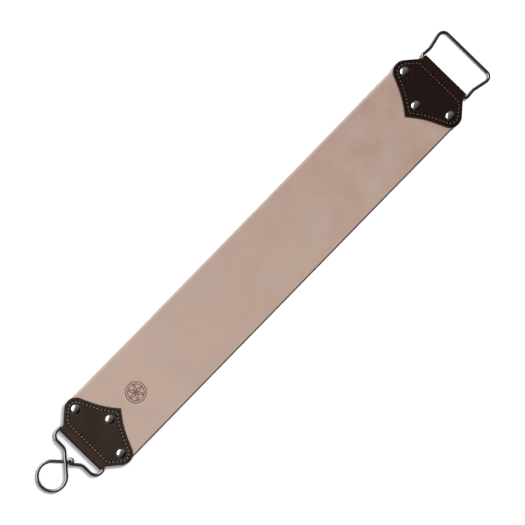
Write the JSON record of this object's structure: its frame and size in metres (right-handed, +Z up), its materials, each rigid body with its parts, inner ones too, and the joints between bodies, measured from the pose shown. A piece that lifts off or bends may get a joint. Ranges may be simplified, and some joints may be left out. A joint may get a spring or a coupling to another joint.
{
  "type": "leather strop",
  "caption": "Hanging leather strop for honing blades: a wide strap with riveted, stitched end tabs, a swinging wire hook that closes into a ring, and a wire handle.",
  "frame": {"origin": "on the surface that the strop lies on, under the middle of its whole box", "axes": "+X along the strap from the hanging hook towards the handle, +Z up out of the honing face, +Y across the strap"},
  "size_m": [0.5412, 0.0768, 0.0086],
  "materials": {
    "strap_leather": "smooth undyed vegetable-tanned strap leather, matt with fine grain",
    "tab_leather": "dark brown dyed leather, low sheen",
    "seam_thread": "waxed brown thread",
    "plated_wire": "nickel-plated spring wire",
    "rivet_steel": "polished plated rivet"
  },
  "bodies": {
    "leather": {"strap": "strap_leather", "hook_tab": "tab_leather", "hook_top_thread": "seam_thread", "hook_under_thread": "seam_thread", "hook_tip_rivet_cap": "rivet_steel", "hook_tip_rivet_post": "rivet_steel", "hook_left_rivet_cap": "rivet_steel", "hook_left_rivet_post": "rivet_steel", "hook_right_rivet_cap": "rivet_steel", "hook_right_rivet_post": "rivet_steel", "handle_tab": "tab_leather", "handle_top_thread": "seam_thread", "handle_under_thread": "seam_thread", "handle_tip_rivet_cap": "rivet_steel", "handle_tip_rivet_post": "rivet_steel", "handle_left_rivet_cap": "rivet_steel", "handle_left_rivet_post": "rivet_steel", "handle_right_rivet_cap": "rivet_steel", "handle_right_rivet_post": "rivet_steel"},
    "hook": {"hook_wire": "plated_wire"},
    "handle": {"handle_wire": "plated_wire"}
  },
  "joints": [
    {"name": "hook_swing", "type": "hinge", "parent": "leather", "child": "hook", "pos_m": [-0.21929, 0, 0.0038], "axis": [0, 1, 0], "range_deg": [-115, 115]},
    {"name": "handle_swing", "type": "hinge", "parent": "leather", "child": "handle", "pos_m": [0.23891, 0, 0.0038], "axis": [0, -1, 0], "range_deg": [-110, 115]}
  ]
}
